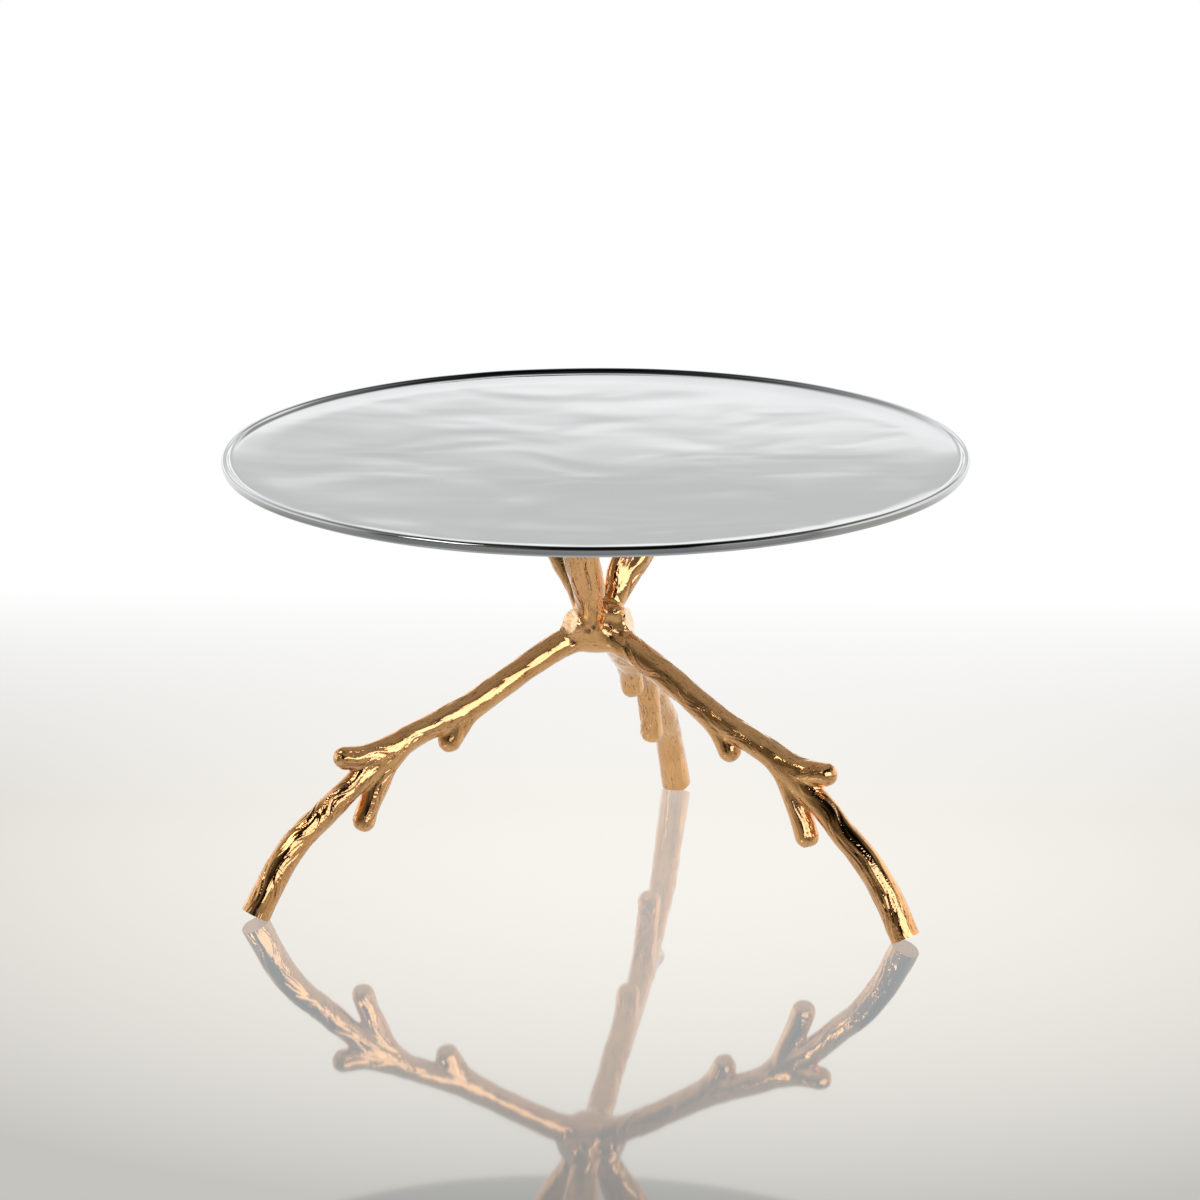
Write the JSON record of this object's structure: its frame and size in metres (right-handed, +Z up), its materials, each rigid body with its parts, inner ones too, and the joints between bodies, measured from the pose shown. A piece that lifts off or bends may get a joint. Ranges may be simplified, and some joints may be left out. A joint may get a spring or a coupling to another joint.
{
  "type": "footed serving stand",
  "caption": "Shallow round polished steel dish with an upturned lip, on a gilt brass base of twig legs and arms that meet in a knotted hub.",
  "frame": {"origin": "on the table, under the middle of the dish, which is also the middle of the bounding box's bottom", "axes": "+Z up, the stand's height and its shortest extent; +X to the right and +Y away from a viewer who has one leg on each side in front and the third leg behind"},
  "size_m": [0.33, 0.33, 0.198],
  "materials": {
    "dish_steel": "hand-hammered stainless steel, polished",
    "cast_brass": "cast with bark grain, polished and lacquered",
    "hardware_steel": "plain stainless fasteners",
    "fibre_pad": "translucent nylon washer"
  },
  "bodies": {
    "root": {"dish": "dish_steel", "hub": "cast_brass", "leg_left": "cast_brass", "leg_right": "cast_brass", "leg_back": "cast_brass", "arm_right": "cast_brass", "arm_left": "cast_brass", "arm_front": "cast_brass", "stud_right": "hardware_steel", "stud_left": "hardware_steel", "stud_front": "hardware_steel", "pad_right": "fibre_pad", "pad_left": "fibre_pad", "pad_front": "fibre_pad", "washer_right": "hardware_steel", "washer_left": "hardware_steel", "washer_front": "hardware_steel", "cap_nut_right": "hardware_steel", "cap_nut_left": "hardware_steel", "cap_nut_front": "hardware_steel"}
  },
  "joints": []
}
